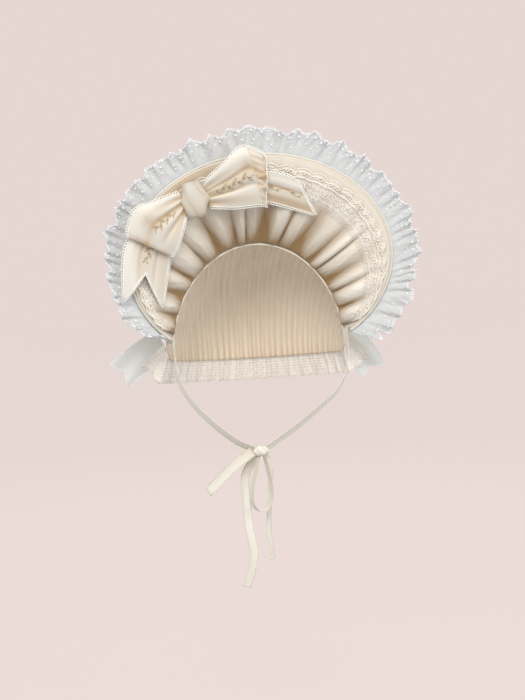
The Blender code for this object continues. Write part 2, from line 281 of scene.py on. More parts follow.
def lining_painted_shade(u, v):
    """Painted warm shade of the lining: in valleys, under folds, at the seam, beside the bow and at the top.
    """
    # All of this is painted shade: valley in the fold valleys, under on the lower flank of each fold, the
    # seam term with its patch, beside_bow beside the bow, ends at the two ends and middle at the top.
    valley = max(0.0, 1 - fold_profile(u, v * LINING_OUTER) * 1.1)
    low, place = lining_folds.at(u + 0.012 * sin(9 * u) * v * LINING_OUTER)
    under = rise(place if u > 0.5 else 1 - place, 0.45, 1.0) * (0.6 + 0.4 * lining_folds.length[low])
    under *= (0.39 if u > 0.5 else 0.40) * exp(-((v - 0.25) / 0.38) ** 2) * min(1.0, abs(2 * u - 1) * 5)
    patch = 0.5 + 0.5 * sin(17 * u + 1.2) * sin(41 * u)
    beside_bow = 0.25 * exp(-((u - 0.36) / 0.19) ** 2) * (1 - 0.4 * v)
    ends = 0.40 * exp((abs(2 * u - 1) - 1) / 0.14) * exp(-v * 1.6)
    middle = 0.24 * exp(-((u - 0.54) / 0.12) ** 2) * exp(-v * 1.2)
    return min(1.0, valley ** 1.1 * (exp(-v * 1.2) + 0.05) + (0.6 + 0.3 * patch) * exp(-v * 7.0)
               + beside_bow + under + ends + middle)


def lace_wave(u):
    """Turn of the lace's fine gathers."""
    return 2 * pi * 190 * u + 4 * sin(23 * u)


def lace_place(u, v):
    """Lace that follows the lining's folds, its outer edge in scallops."""
    scallop = LACE_SCALLOP_DEPTH * abs(sin(pi * LACE_SCALLOPS * u)) ** 0.8
    w = LACE_INNER + (LACE_OUTER + scallop * v * v - LACE_INNER) * v
    lift = lining_lift(u, w) if w < LINING_OUTER else LINING_LIFT + LINING_EDGE_FOLD
    flounce = (1.5 + 1.3 * sin(2 * pi * LACE_SCALLOPS * u + 2 * sin(17 * u))) * max(0.0, v - 0.45)
    gather = 0.32 * sin(lace_wave(u)) * (1 - 0.6 * v)
    return on_lining(u, w, lift + LACE_LIFT + (flounce * 1.4 + gather) * MM)


def ruffle_place(u, v):
    """Pleated frill, v from 0 at its seam behind the brim's edge to 1 at its free edge."""
    free = max(0.0, (v - RUFFLE_TUCK_SHARE) / (1 - RUFFLE_TUCK_SHARE))
    out = -RUFFLE_TUCK + (RUFFLE_TUCK + RUFFLE_CLEAR) * min(1.0, v / RUFFLE_TUCK_SHARE)
    low, place = ruffle_pleats.at(u)
    high = ruffle_pleats.mix(ruffle_pleats.height, low, place)
    longer = ruffle_pleats.mix(ruffle_pleats.length, low, place)
    swing = ruffle_pleats.mix(ruffle_pleats.slant, low, place)
    turn = 2 * pi * place
    wave = (0.46 * sin(turn) * high + 0.24 * sin(2 * pi * 73 * u + 5 * sin(11 * u))) * free ** 1.1
    flutter = 0.12 * sin(2.0 * turn + 5 * swing) * free ** 2 + 0.07 * sin(260 * u) * sin(9 * v + 40 * u)
    flutter += 0.17 * sin(2 * pi * 118 * u + 7 * v) * sin(2 * pi * 3.4 * v + 90 * u) * free
    lobes = 0.08 * sin(2 * pi * 17 * u + 2 * sin(19 * u)) + 0.07 * sin(2 * pi * 29 * u + 3 * sin(13 * u))
    lobes += 0.12 * rise(u, 0.68, 0.84)
    shorten = 0.95 - 0.10 * (1 + cos(turn)) / 2 * free + 0.10 * longer + lobes
    out += (RUFFLE_WIDTH - RUFFLE_TUCK - RUFFLE_CLEAR) * free * shorten
    depth = (wave + flutter) * RUFFLE_WAVE
    hang = 0.22 * rise(0.16 - u, 0.0, 0.13) + 0.48 * rise(u, 0.84, 0.97)
    along = (brim_point(u + STEP, 1) - brim_point(u - STEP, 1)).normalized()
    outward = (brim_point(u, 1) - brim_point(u, 0.8)).normalized()
    outward = outward.lerp(Vector((0.55 if u > 0.5 else -0.55, -0.2, -0.8)), hang).normalized()
    sideways = (-1.0 * sin(2 * turn) + 1.8 * swing) * MM * free
    return on_brim(u, 1, depth - RUFFLE_LIFT) + outward * out + along * sideways


def nape_place(u, v):
    """Lace frill under the crown's neck edge, its ends carried up the crown's two corners."""
    side = 1 if u > 0.5 else -1
    run = abs(2 * u - 1)
    corner = max(0.0, (run - 1 + NAPE_CORNER) / NAPE_CORNER)
    along = min(1.0, run / (1 - NAPE_CORNER))
    top = crown_point(0.5 + side * along / 2, 1 - 0.85 * corner)
    top += Vector((side * NAPE_GAP * min(1.0, 5 * max(0.0, along - 0.8)), 0, -NAPE_GAP))
    away = Vector((top.x, top.y * (1 - min(1.0, corner)), 0)).normalized()
    top += away * NAPE_LAP_OUT + Vector((0, 0, NAPE_LAP * (1 - v)))
    low, place = nape_pleats.at(u)
    wave = NAPE_WAVE * sin(2 * pi * place) * nape_pleats.mix(nape_pleats.height, low, place)
    scallop = 1 + 0.06 * abs(sin(pi * 60 * u)) * v
    down = Vector((0, 0, -NAPE_DROP * v * scallop))
    return top + away * (NAPE_FLARE * (1 + NAPE_CORNER_FLARE * corner) + wave) * v + down


def blend(values, t):
    """Smooth value at t from 0 to 1 through evenly spaced values."""
    count = len(values) - 1
    place = min(max(t, 0.0), 0.9999) * count
    i = int(place)
    f = place - i
    before, a, b = values[max(i - 1, 0)], values[i], values[i + 1]
    after = values[min(i + 2, count)]
    return 0.5 * (2 * a + (b - before) * f + (2 * before - 5 * a + 4 * b - after) * f * f
                  + (3 * a - before - 3 * b + after) * f ** 3)


def notched(place, depth):
    """The same ribbon with its far end cut to a swallowtail, depth as a share of its length."""
    return lambda u, v: place(u * (1 - depth * u ** 3 * (1 - abs(2 * v - 1))), v)


def bow_ribbon(sections):
    """Wide ribbon in front of the brim, through sections in millimetres."""
    tops = [Vector((s.top_x, s.out, s.top_z)) for s in sections]
    feet = [Vector((s.foot_x, s.out, s.foot_z)) for s in sections]

    def place(u, v):
        point = blend(tops, u).lerp(blend(feet, u), v) * MM
        return Vector((point.x, brim_depth(point.x, point.z) - point.y, point.z))
    return place


def fan_turn(v):
    """Turn of the gathers that fan out from the bow's knot."""
    return 2 * pi * 3.1 * v + 0.8


def creased(place, looped, creases, front_end=None):
    """The ribbon with gathers that fan out from the knot, long creases and a sharp far fold."""
    def folded(u, v):
        far = min(u, 1 - u) * 2 if looped else u
        side = 1 if u < 0.5 or not looped else -1
        fan = 1.6 * MM * (1 - far) ** 1.6 * min(1.0, 8 * far) * sin(fan_turn(v))
        long = sum(crease.height * MM * exp(-((v - crease.middle) / crease.width) ** 2) for crease in creases)
        point = place(u, v)
        point.y -= side * (fan + long * sin(pi * (0.12 + far * 0.72)) * (1 - far ** 8 * looped))
        if front_end:
            behind = rise(u, front_end, front_end + 0.02) * (1 - rise(u, 0.56, 0.62))
            point.y += behind * (3.6 + 0.5 * sin(2 * pi * 8 * v)) * MM
            point.y -= 1.2 * MM * exp(-abs(u - front_end) / 0.02)
        return point
    return folded


def directions(points):
    """Direction of a line at each of its points."""
    return [points[min(i + 1, len(points) - 1)] - points[max(i - 1, 0)] for i in range(len(points))]


def across_round(points):
    """Crosswise directions of a ribbon that curves round STRAP_MIDDLE with its face outwards."""
    return [ahead.cross(point - STRAP_MIDDLE).normalized()
            for point, ahead in zip(points, directions(points))]


def across_hanging(points):
    """Crosswise directions of a ribbon that hangs facing forward."""
    return [ahead.cross(FRONT).normalized() for ahead in directions(points)]


def flat_ribbon(points, across, width, root=1.0, cup=0.0):
    """Ribbon through points with a crosswise direction at each, gathered to a share at its root."""
    def place(u, v):
        spread = width * (root + (1 - root) * min(1.0, u / 0.3))
        crosswise = blend(across, u).normalized()
        ahead = blend(points, min(1, u + 0.01)) - blend(points, max(0, u - 0.01))
        bulge = crosswise.cross(ahead.normalized()) * cup * (1 - (2 * v - 1) ** 2)
        return blend(points, u) + crosswise * spread * (v - 0.5) + bulge
    return place


def strap_place(side, points):
    """Chin strap, sewn flat inside the brim's lower corner."""
    u = 0.5 + side * 0.485
    outward = (brim_point(u, 0.5) - brim_point(u, 0.2)).normalized()
    below = brim_point(u + side * 0.012, 0.4) - Vector((side * 1.4 * STRAP_LIFT, 0, 0))
    sewn = [on_brim(u, 0.4, STRAP_LIFT), below]
    across = across_round(sewn + points)
    if across[2].dot(outward) < 0:
        outward = -outward
    across[0] = across[1] = outward
    return flat_ribbon(sewn + points, across, TIE_WIDTH)


def route(rows):
    """Points given in millimetres."""
    return [Vector(row) * MM for row in rows]


# Materials

def new_group(name, inputs, outputs):
    """Node group with named sockets and their first values."""
    group = bpy.data.node_groups.new(name, "ShaderNodeTree")
    for label, kind, value in inputs:
        socket = group.interface.new_socket(label, in_out="INPUT", socket_type=kind)
        if value is not None:
            socket.default_value = value
    for label, kind in outputs:
        group.interface.new_socket(label, in_out="OUTPUT", socket_type=kind)
    start = group.nodes.new("NodeGroupInput")
    end = group.nodes.new("NodeGroupOutput")
    return group, start.outputs, end.inputs


def set_values(node, values):
    """First values of a node's sockets, from (socket, value) pairs."""
    for socket, value in values:
        node.inputs[socket].default_value = value


def wire(tree, kind, values=(), links=(), **settings):
    """One node of a kind, its settings, socket values and incoming links."""
    node = tree.nodes.new(kind)
    for name, value in settings.items():
        setattr(node, name, value)
    set_values(node, values)
    for socket, source in links:
        tree.links.new(source, node.inputs[socket])
    return node


def math_node(tree, operation, a, b=None):
    """Math on two numbers, each a socket or a constant."""
    node = tree.nodes.new("ShaderNodeMath")
    node.operation = operation
    for i, value in enumerate((a, b)):
        if value is None:
            continue
        if isinstance(value, (int, float)):
            node.inputs[i].default_value = value
        else:
            tree.links.new(value, node.inputs[i])
    return node.outputs[0]


def times_plus(tree, value, factor, extra):
    """A value times a factor, plus another value."""
    return math_node(tree, "ADD", math_node(tree, "MULTIPLY", value, factor), extra)


def mix_colour(tree, factor, a, b):
    """Colour between a and b, each a socket or a constant."""
    node = tree.nodes.new("ShaderNodeMix")
    node.data_type = "RGBA"
    for socket, value in ((0, factor), (6, a), (7, b)):
        if isinstance(value, (int, float)):
            node.inputs[socket].default_value = value
        elif isinstance(value, tuple):
            node.inputs[socket].default_value = (*value, 1)
        else:
            tree.links.new(value, node.inputs[socket])
    return node.outputs[2]


FLOAT, VECTOR = "NodeSocketFloat", "NodeSocketVector"
RELIEF_DEPTH = 0.2 * MM
# Painted shade colour of the lace.
LACE_SHADE = (0.56, 0.44, 0.30)


def make_weave_group():
    """Over-and-under threads along the cloth's own length and width, in metres."""
    group, given, result = new_group(
        "woven threads",
        [("Cloth", VECTOR, None), ("Threads per metre", FLOAT, 1400.0), ("Slub", FLOAT, 0.3)],
        [("Height", FLOAT), ("Tone", FLOAT)])
    scaled = wire(group, "ShaderNodeVectorMath", links=[(0, given["Cloth"]), (3, given["Threads per metre"])],
                  operation="SCALE").outputs[0]
    parts = wire(group, "ShaderNodeSeparateXYZ", links=[(0, scaled)]).outputs
    warp = math_node(group, "SINE", math_node(group, "MULTIPLY", parts[0], pi))
    weft = math_node(group, "SINE", math_node(group, "MULTIPLY", parts[1], pi))
    over = math_node(group, "MULTIPLY", warp, weft)
    stretched = wire(group, "ShaderNodeMapping", [("Scale", (1.0, 0.03, 1.0))],
                     [("Vector", scaled)]).outputs[0]
    slubs = wire(group, "ShaderNodeTexNoise", [("Scale", 0.6), ("Detail", 2.0)],
                 [("Vector", stretched)]).outputs[0]
    uneven = math_node(group, "MULTIPLY", math_node(group, "SUBTRACT", slubs, 0.5), given["Slub"])
    group.links.new(times_plus(group, over, 0.5, uneven), result["Height"])
    group.links.new(times_plus(group, uneven, 1.5, 0.5), result["Tone"])
    return group


def make_age_group():
    """Soft cloudy change of tone over a whole piece."""
    group, given, result = new_group(
        "soft clouds",
        [("Place", VECTOR, None), ("Scale", FLOAT, 14.0), ("Strength", FLOAT, 0.5)],
        [("Mask", FLOAT)])
    clouds = wire(group, "ShaderNodeTexNoise", [("Detail", 4.0), ("Roughness", 0.6)],
                  [("Vector", given["Place"]), ("Scale", given["Scale"])]).outputs[0]
    centred = math_node(group, "SUBTRACT", clouds, 0.5)
    group.links.new(times_plus(group, centred, given["Strength"], 0.5), result["Mask"])
    return group


def make_net_group():
    """Lace ground: round meshes in net with thicker worked figures between them."""
    group, given, result = new_group(
        "lace ground",
        [("Cloth", VECTOR, None), ("Meshes per metre", FLOAT, 620.0), ("Figures per metre", FLOAT, 125.0)],
        [("Thread", FLOAT), ("Height", FLOAT)])
    drawn = wire(group, "ShaderNodeMapping", [("Scale", (1.0, 0.5, 1.0))],
                 [("Vector", given["Cloth"])]).outputs[0]
    mesh = wire(group, "ShaderNodeTexVoronoi", [("Randomness", 0.6)],
                [("Vector", drawn), ("Scale", given["Meshes per metre"])],
                feature="DISTANCE_TO_EDGE", voronoi_dimensions="2D").outputs["Distance"]
    net = math_node(group, "LESS_THAN", mesh, 0.19)
    figure = wire(group, "ShaderNodeTexVoronoi", [("Randomness", 0.6)],
                  [("Vector", given["Cloth"]), ("Scale", given["Figures per metre"])],
                  feature="F1", voronoi_dimensions="2D").outputs["Distance"]
    finer = math_node(group, "MULTIPLY", given["Figures per metre"], 3.3)
    petals = wire(group, "ShaderNodeTexVoronoi", [("Randomness", 0.9)],
                  [("Vector", given["Cloth"]), ("Scale", finer)],
                  feature="DISTANCE_TO_EDGE", voronoi_dimensions="2D").outputs["Distance"]
    inside = math_node(group, "LESS_THAN", figure, 0.36)
    worked = math_node(group, "MULTIPLY", inside, math_node(group, "GREATER_THAN", petals, 0.07))
    thread = math_node(group, "MAXIMUM", net, worked)
    group.links.new(thread, result["Thread"])
    group.links.new(times_plus(group, worked, 0.6, net), result["Height"])
    return group


weave_group = make_weave_group()
age_group = make_age_group()
net_group = make_net_group()


def start_material(name, roughness, sheen, specular=0.35):
    """Material with its node tree and its own shader."""
    material = bpy.data.materials.new(name)
    material.use_nodes = True
    tree = material.node_tree
    shader = tree.nodes["Principled BSDF"]
    set_values(shader, [("Roughness", roughness), ("Sheen Weight", sheen), ("Sheen Roughness", 0.4),
                        ("Specular IOR Level", specular)])
    return material, tree, shader


def use_group(tree, group, values=(), links=()):
    """Outputs of a node that uses a node group."""
    return wire(tree, "ShaderNodeGroup", values, links, node_tree=group).outputs


def cloth_inputs(tree):
    """The cloth's own map in metres, the place on the piece and the shade of its folds."""
    return (wire(tree, "ShaderNodeUVMap", uv_map="cloth").outputs[0],
            wire(tree, "ShaderNodeTexCoord").outputs["Object"],
            wire(tree, "ShaderNodeAttribute", attribute_name="fold_shade").outputs["Fac"])


def relief(tree, shader, height, strength, depth=RELIEF_DEPTH):
    """Fine relief on a surface, its depth in metres."""
    bump = wire(tree, "ShaderNodeBump", [("Strength", strength), ("Distance", depth)], [("Height", height)])
    tree.links.new(bump.outputs[0], shader.inputs["Normal"])


def woven_material(name, colour, shadow, roughness, sheen=0.3, threads=1500.0, slub=0.5, bump=0.3,
                   clouds=0.5, tint=None):
    """Opaque cloth: weave, slubs, clouds and a painted warmer shade in its folds."""
    material, tree, shader = start_material(name, roughness, sheen)
    cloth_uv, here, shade = cloth_inputs(tree)
    weave = use_group(tree, weave_group, [("Threads per metre", threads), ("Slub", slub)],
                      [("Cloth", cloth_uv)])
    cloud = use_group(tree, age_group, [("Strength", clouds)], [("Place", here)])["Mask"]
    pale = tuple(min(1.0, part * 1.05) for part in colour)
    dull = tuple(part * 0.90 for part in (tint or colour))
    base = mix_colour(tree, cloud, dull, pale)
    base = mix_colour(tree, math_node(tree, "MULTIPLY", weave["Tone"], 0.10), base, dull)
    # Painted shade: the fold_shade attribute mixes in the shadow colour.
    base = mix_colour(tree, shade, base, shadow)
    tree.links.new(base, shader.inputs["Base Color"])
    tree.links.new(times_plus(tree, weave["Tone"], 0.12, roughness - 0.06), shader.inputs["Roughness"])
    relief(tree, shader, weave["Height"], bump)
    return material


def sheer_material(name, colour, solid, edge_solid, roughness):
    """Organza: see-through face on, denser where it turns away, with a fine crisp weave."""
    material, tree, shader = start_material(name, roughness, 0.5, 0.5)
    cloth_uv, here, shade = cloth_inputs(tree)
    weave = use_group(tree, weave_group, [("Threads per metre", 900.0), ("Slub", 0.5)], [("Cloth", cloth_uv)])
    cloud = use_group(tree, age_group, [("Strength", 1.2), ("Scale", 60.0)], [("Place", here)])["Mask"]
    grey = tuple(part * 0.88 for part in colour)
    tree.links.new(mix_colour(tree, cloud, grey, colour), shader.inputs["Base Color"])
    facing = wire(tree, "ShaderNodeLayerWeight", [("Blend", 0.35)]).outputs["Facing"]
    dense = times_plus(tree, facing, edge_solid - solid, solid)
    dense = times_plus(tree, shade, 0.25, dense)
    dense = times_plus(tree, weave["Height"], 0.10, dense)
    clamped = wire(tree, "ShaderNodeClamp", links=[(0, dense)]).outputs[0]
    tree.links.new(clamped, shader.inputs["Alpha"])
    relief(tree, shader, weave["Height"], 0.3)
    return material


def lace_material(name, colour):
    """Cotton lace: open net with worked figures, denser or thinner where its border says so."""
    material, tree, shader = start_material(name, 0.8, 0.3)
    cloth_uv, here, shade = cloth_inputs(tree)
    net = use_group(tree, net_group, links=[("Cloth", cloth_uv)])
    cloud = use_group(tree, age_group, [("Strength", 0.7), ("Scale", 40.0)], [("Place", here)])["Mask"]
    border = wire(tree, "ShaderNodeAttribute", attribute_name="border").outputs["Fac"]
    dull = tuple(part * 0.9 for part in colour)
    base = mix_colour(tree, cloud, dull, colour)
    # Painted shade: the fold_shade attribute mixes in LACE_SHADE.
    tree.links.new(mix_colour(tree, shade, base, LACE_SHADE), shader.inputs["Base Color"])
    faded = math_node(tree, "ADD", net["Thread"], math_node(tree, "MINIMUM", border, 0.0))
    solid = math_node(tree, "MAXIMUM", faded, border)
    veil = times_plus(tree, solid, 0.42, 0.52)
    tree.links.new(wire(tree, "ShaderNodeClamp", links=[(0, veil)]).outputs[0], shader.inputs["Alpha"])
    relief(tree, shader, net["Height"], 0.30, 0.25 * MM)
    return material


def thread_material(name, colour, dark, roughness, sheen):
    """Twisted thread: fine turns of light and dark along the strand."""
    material, tree, shader = start_material(name, roughness, sheen)
    here = wire(tree, "ShaderNodeTexCoord").outputs["Object"]
    turns = wire(tree, "ShaderNodeTexNoise", [("Scale", 900.0), ("Detail", 2.0)],
                 [("Vector", here)]).outputs[0]
    tree.links.new(mix_colour(tree, turns, dark, colour), shader.inputs["Base Color"])
    relief(tree, shader, turns, 0.4)
    return material


def linear(red, green, blue):
    """Colour as Blender keeps it, from the usual 0 to 255 values."""
    return tuple(((part / 255 + 0.055) / 1.055) ** 2.4 for part in (red, green, blue))


# Each woven cloth's second colour is its painted shadow colour, mixed in by fold_shade.
brim_cotton = woven_material("brim cotton", linear(227, 221, 211), linear(184, 150, 104), 0.78, sheen=0.25,
                             threads=1600.0, slub=0.35, bump=0.35, clouds=0.7, tint=linear(224, 215, 199))
crown_cotton = woven_material("crown cotton", linear(240, 230, 215), linear(206, 178, 142), 0.75, sheen=0.25,
                              threads=1600.0, slub=0.35, bump=0.35, clouds=0.6, tint=linear(236, 220, 199))
lining_lawn = woven_material("lining lawn", linear(249, 245, 236), linear(151, 121, 81), 0.5, sheen=0.35,
                             threads=1900.0, slub=0.25, bump=0.25, tint=linear(245, 238, 223))
bow_satin = woven_material("bow satin", linear(239, 237, 230), linear(196, 169, 133), 0.42,
                           tint=linear(236, 231, 220))
# knot_satin is a darker copy of the bow's satin for the wrapped knot: painted shade.
knot_satin = woven_material("knot satin", linear(207, 201, 189), linear(182, 158, 124), 0.45)
tie_satin = woven_material("tie satin", linear(240, 236, 225), linear(186, 172, 146), 0.34, slub=0.6)
ruffle_organza = sheer_material("ruffle organza", linear(211, 219, 221), 0.64, 0.92, 0.5)
tail_organza = sheer_material("tail organza", linear(218, 224, 221), 0.72, 0.95, 0.45)
cotton_lace = lace_material("cotton lace", linear(252, 246, 237))
lace_thread = thread_material("lace thread", linear(254, 249, 241), linear(236, 225, 209), 0.7, 0.3)
white_thread = thread_material("white thread", linear(252, 253, 255), linear(226, 231, 235), 0.35, 0.3)
picot_thread = thread_material("picot thread", linear(255, 254, 250), linear(240, 234, 222), 0.55, 0.3)
vine_thread = thread_material("vine thread", linear(198, 172, 132), linear(170, 142, 104), 0.4, 0.2)
stitch_thread = thread_material("stitch thread", linear(246, 240, 226), linear(214, 202, 178), 0.6, 0.2)


# Making pieces

def keep(name, points, faces, material, nodes=()):
    """Mesh piece that rides on the bonnet."""
    mesh = bpy.data.meshes.new(name)
    mesh.from_pydata(points, [], faces)
    mesh.update()
    piece = bpy.data.objects.new(name, mesh)
    bpy.context.scene.collection.objects.link(piece)
    mesh.materials.append(material)
    mesh.shade_smooth()
    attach(piece, BODY)
    if nodes:
        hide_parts(*nodes)
    return piece


def lay(name, columns, rows, place, size, material, nodes=(), wall=0.0, tone=None, border=None):
    """Sheet of cloth from place(u, v), its UV map in metres: size is (width, length)."""
    across, along = range(rows + 1), range(columns + 1)
    points = [place(i / columns, j / rows) for j in across for i in along]
    step = columns + 1
    faces = [(j * step + i, j * step + i + 1, (j + 1) * step + i + 1, (j + 1) * step + i)
             for j in range(rows) for i in range(columns)]
    piece = keep(name, points, faces, material, nodes)
    mesh = piece.data
    spots = mesh.uv_layers.new(name="cloth")
    for loop, corner in zip(mesh.loops, spots.data):
        j, i = divmod(loop.vertex_index, step)
        corner.uv = (i / columns * size[1], j / rows * size[0])
    for label, shade in (("fold_shade", tone), ("border", border)):
        if shade:
            layer = mesh.attributes.new(label, "FLOAT", "POINT")
            layer.data.foreach_set("value", [shade(i / columns, j / rows) for j in across for i in along])
    if wall:
        thick = piece.modifiers.new("wall", "SOLIDIFY")
        thick.thickness = wall
        thick.offset = 0
    return piece


WALK_STEPS = 600


def frame_at(place, u, v, front=None):
    """Point of a sheet with its directions along, across and off the sheet."""
    along = place(min(1, u + STEP), v) - place(max(0, u - STEP), v)
    across = place(u, min(1, v + 0.02)) - place(u, max(0, v - 0.02))
    normal = along.cross(across).normalized()
    if front is not None and normal.dot(front) < 0:
        normal = -normal
    return place(u, v), along.normalized(), across.normalized(), normal


def walk(place, v, spacing, start=0.0, end=1.0):
    """Values of u that are evenly spaced along a sheet's line of constant v."""
    at = [start + (end - start) * i / WALK_STEPS for i in range(WALK_STEPS + 1)]
    points = [place(u, v) for u in at]
    runs = [0.0]
    for a, b in zip(points, points[1:]):
        runs.append(runs[-1] + (b - a).length)
    count = max(1, round(runs[-1] / spacing))
    found, i = [], 0
    for k in range(count + 1):
        goal = runs[-1] * k / count
        while i < WALK_STEPS - 1 and runs[i + 1] < goal:
            i += 1
        share = (goal - runs[i]) / max(runs[i + 1] - runs[i], 1e-9)
        found.append(at[i] + (at[i + 1] - at[i]) * min(share, 1.0))
    return found


Shape = namedtuple("Shape", "points faces")


def bead_shape():
    """Small round with twenty faces, half a unit in radius."""
    mesh = bmesh.new()
    bmesh.ops.create_icosphere(mesh, subdivisions=1, radius=0.5)
    shape = Shape([v.co.copy() for v in mesh.verts], [[v.index for v in f.verts] for f in mesh.faces])
    mesh.free()
    return shape


BEAD = bead_shape()


def axes(centre, x, y, z, size):
    """Placement from three directions and a size along each."""
    matrix = Matrix((x * size[0], y * size[1], z * size[2])).transposed().to_4x4()
    matrix.translation = centre
    return matrix


def scatter(name, placements, material):
    """Many small rounds, stretched and turned by their placements, as one piece."""
    points, faces = [], []
    for matrix in placements:
        first = len(points)
        points += [matrix @ point for point in BEAD.points]
        faces += [[first + i for i in face] for face in BEAD.faces]
    return keep(name, points, faces, material)


def strands(name, lines, radius, material, sides=6):
    """Round threads through lists of points, each with closed ends."""
    points, faces = [], []
    for line in lines:
        closed = (line[0] - line[-1]).length < 1e-6
        if closed:
            line = line[:-1]
        count, first, turned = len(line), len(points), None
        for i, point in enumerate(line):
            ahead = line[(i + 1) % count] if closed or i + 1 < count else line[i]
            back = line[i - 1] if closed or i else line[i]
            direction = (ahead - back).normalized()
            if turned is None:
                turned = direction.orthogonal().normalized()
            turned = (turned - direction * turned.dot(direction)).normalized()
            other = direction.cross(turned)
            for k in range(sides):
                turn = 2 * pi * k / sides
                points.append(point + (turned * cos(turn) + other * sin(turn)) * radius)
        for i in range(count if closed else count - 1):
            a, b = first + i * sides, first + (i + 1) % count * sides
            faces += [(a + k, a + (k + 1) % sides, b + (k + 1) % sides, b + k) for k in range(sides)]
        if not closed:
            last = first + (count - 1) * sides
            faces.append([first + k for k in reversed(range(sides))])
            faces.append([last + k for k in range(sides)])
    return keep(name, points, faces, material)


def line_on(place, v, spacing, start=0.0, end=1.0, lift=0.0, front=None):
    """Points along a sheet's line of constant v."""
    found = []
    for u in walk(place, v, spacing, start, end):
        point, _, _, normal = frame_at(place, u, v, front)
        found.append(point + normal * lift)
    return found


def ring(centre, x, y, radius, steps=9):
    """Closed round line."""
    line = [centre + (x * cos(2 * pi * k / steps) + y * sin(2 * pi * k / steps)) * radius
            for k in range(steps)]
    return line + [line[0]]


def picots(name, sheets, size, material):
    """Small thread loops along the edges of cloth: sheets is a list of (place, v, start, end)."""
    loops, lines = [], []
    for place, v, start, end in sheets:
        side = 1 if v > 0.5 else -1
        line = []
        for u in walk(place, v, size.spacing, start, end):
            point, along, across, _ = frame_at(place, u, v)
            loops.append(ring(point + across * side * size.radius * 0.9, along, across, size.radius, 8))
            line.append(point)
        lines.append(line)
    return [strands(name, loops, size.thread, material, 4),
            strands(name + "_cord", lines, size.thread * 1.2, material, 5)]


# Camera, light and floor

CAMERA_DISTANCE = 1.8
CAMERA_AZIMUTH, CAMERA_ELEVATION, CAMERA_ROLL = radians(-10), radians(4), radians(2.5)
PIXEL = 1.2 * MM
ORIGIN_PIXEL = Vector((259, 338))
IMAGE_MIDDLE = Vector((262.5, 350))
SENSOR = 36.0
LONG_SIDE = 700

ahead = Vector((-sin(CAMERA_AZIMUTH) * cos(CAMERA_ELEVATION),
                cos(CAMERA_AZIMUTH) * cos(CAMERA_ELEVATION), -sin(CAMERA_ELEVATION)))
level = ahead.cross(Vector((0, 0, 1))).normalized()
upright = level.cross(ahead)
right = level * cos(CAMERA_ROLL) - upright * sin(CAMERA_ROLL)
up = upright * cos(CAMERA_ROLL) + level * sin(CAMERA_ROLL)
aim = (right * (IMAGE_MIDDLE.x - ORIGIN_PIXEL.x) - up * (IMAGE_MIDDLE.y - ORIGIN_PIXEL.y)) * PIXEL
camera_data = bpy.data.cameras.new("camera")
camera_data.sensor_width = SENSOR
camera_data.lens = CAMERA_DISTANCE / PIXEL * SENSOR / LONG_SIDE
camera = bpy.data.objects.new("camera", camera_data)
camera.matrix_world = axes(aim - ahead * CAMERA_DISTANCE, right, up, -ahead, (1, 1, 1))
bpy.context.scene.collection.objects.link(camera)
bpy.context.scene.camera = camera


def add_light(name, at, size, power, colour):
    """Soft square light that faces the bonnet."""
    data = bpy.data.lights.new(name, "AREA")
    data.size = size
    data.energy = power
    data.color = colour
    light = bpy.data.objects.new(name, data)
    light.location = at
    light.rotation_mode = "QUATERNION"
    light.rotation_quaternion = (Vector((0, 0, 0.08)) - Vector(at)).to_track_quat("-Z", "Y")
    light.visible_camera = False
    bpy.context.scene.collection.objects.link(light)


add_light("key", (-0.55, -2.1, 1.5), 1.1, 41, (1.0, 0.985, 0.96))
add_light("fill", (1.7, -1.6, 0.5), 1.6, 14, (0.97, 0.98, 1.0))
add_light("back", (0.3, 1.7, 1.5), 1.4, 22, (1.0, 0.99, 0.98))

world = bpy.data.worlds.new("studio air")
world.use_nodes = True
set_values(world.node_tree.nodes["Background"], [("Color", (0.99, 0.98, 0.96, 1)), ("Strength", 0.55)])
bpy.context.scene.world = world
bpy.context.scene.view_settings.view_transform = "Standard"
bpy.context.scene.cycles.transparent_max_bounces = 24

FLOOR_Z = -0.47
FLOOR_RADIUS = 3.4
WALL_RADIUS = 0.9
WALL_HEIGHT = 3.0


def stage_point(turn, out):
    """Round floor that curves up into a wall, out from 0 in the middle to 1 at the wall's top."""
    flat = FLOOR_RADIUS - WALL_RADIUS
    if out < 0.5:
        radius, height = flat * out / 0.5, 0.0
    else:
        bend = min(1.0, (out - 0.5) / 0.25) * pi / 2
        radius = flat + WALL_RADIUS * sin(bend)
        height = WALL_RADIUS * (1 - cos(bend)) + max(0.0, out - 0.75) / 0.25 * WALL_HEIGHT
    return Vector((radius * cos(turn), radius * sin(turn), FLOOR_Z + height))


rings, spokes = 32, 64
stage_points = [stage_point(2 * pi * i / spokes, j / rings) for j in range(rings + 1) for i in range(spokes)]
stage_faces = [(j * spokes + i, j * spokes + (i + 1) % spokes, (j + 1) * spokes + (i + 1) % spokes,
                (j + 1) * spokes + i) for j in range(rings) for i in range(spokes)]
stage_mesh = bpy.data.meshes.new("studio_floor")
stage_mesh.from_pydata(stage_points, [], stage_faces)
stage_mesh.shade_smooth()
studio = bpy.data.objects.new("studio_floor", stage_mesh)
studio.visible_diffuse = False
studio.visible_shadow = False
bpy.context.scene.collection.objects.link(studio)
paint = bpy.data.materials.new("pale paint")
paint.use_nodes = True
set_values(paint.node_tree.nodes["Principled BSDF"], [
    ("Base Color", (0.13, 0.112, 0.109, 1)), ("Roughness", 0.95), ("Specular IOR Level", 0.0),
    ("Emission Color", (*linear(233, 218, 214), 1)), ("Emission Strength", 0.855)])
stage_mesh.materials.append(paint)

# Brim and crown

# The brim's fold_shade is painted shade, darkest at the seam.
brim = lay("flared_brim", 200, 14, brim_point, BRIM_SIZE, brim_cotton, ["brim"], BRIM_WALL,
           lambda u, v: 0.25 * exp(-v * 9))

BAND_INNER, BAND_OUTER, BAND_PUFF = 0.80, 0.972, 1.1 * MM


